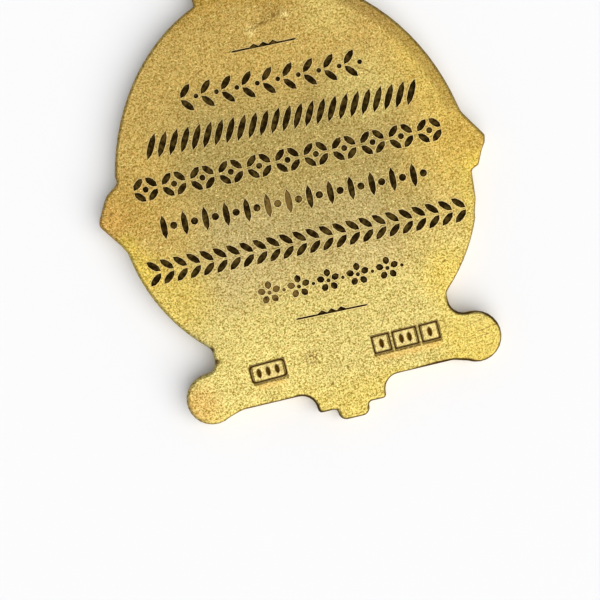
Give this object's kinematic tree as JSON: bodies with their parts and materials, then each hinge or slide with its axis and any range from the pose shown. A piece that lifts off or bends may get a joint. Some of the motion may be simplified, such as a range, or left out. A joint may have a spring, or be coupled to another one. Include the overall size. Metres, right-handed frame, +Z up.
{
  "type": "lodge medal",
  "caption": "Oval struck gilt lodge medal lying face down, with an engraved ornamental back, side points, a scrolled foot and a wire suspension ring.",
  "frame": {"origin": "on the surface that the medal lies on, under the middle of its outer box", "axes": "+Z up and out of the engraved back, +Y towards the suspension ring, +X to the right of the back"},
  "size_m": [0.0352, 0.0536, 0.0035],
  "materials": {
    "frosted_gilt": "frosted gilt with black wax in the engraving",
    "bright_gilt": "polished gilt, lightly worn"
  },
  "bodies": {
    "root": {"medal_plate": "frosted_gilt", "suspension_ring": "bright_gilt"}
  },
  "joints": []
}
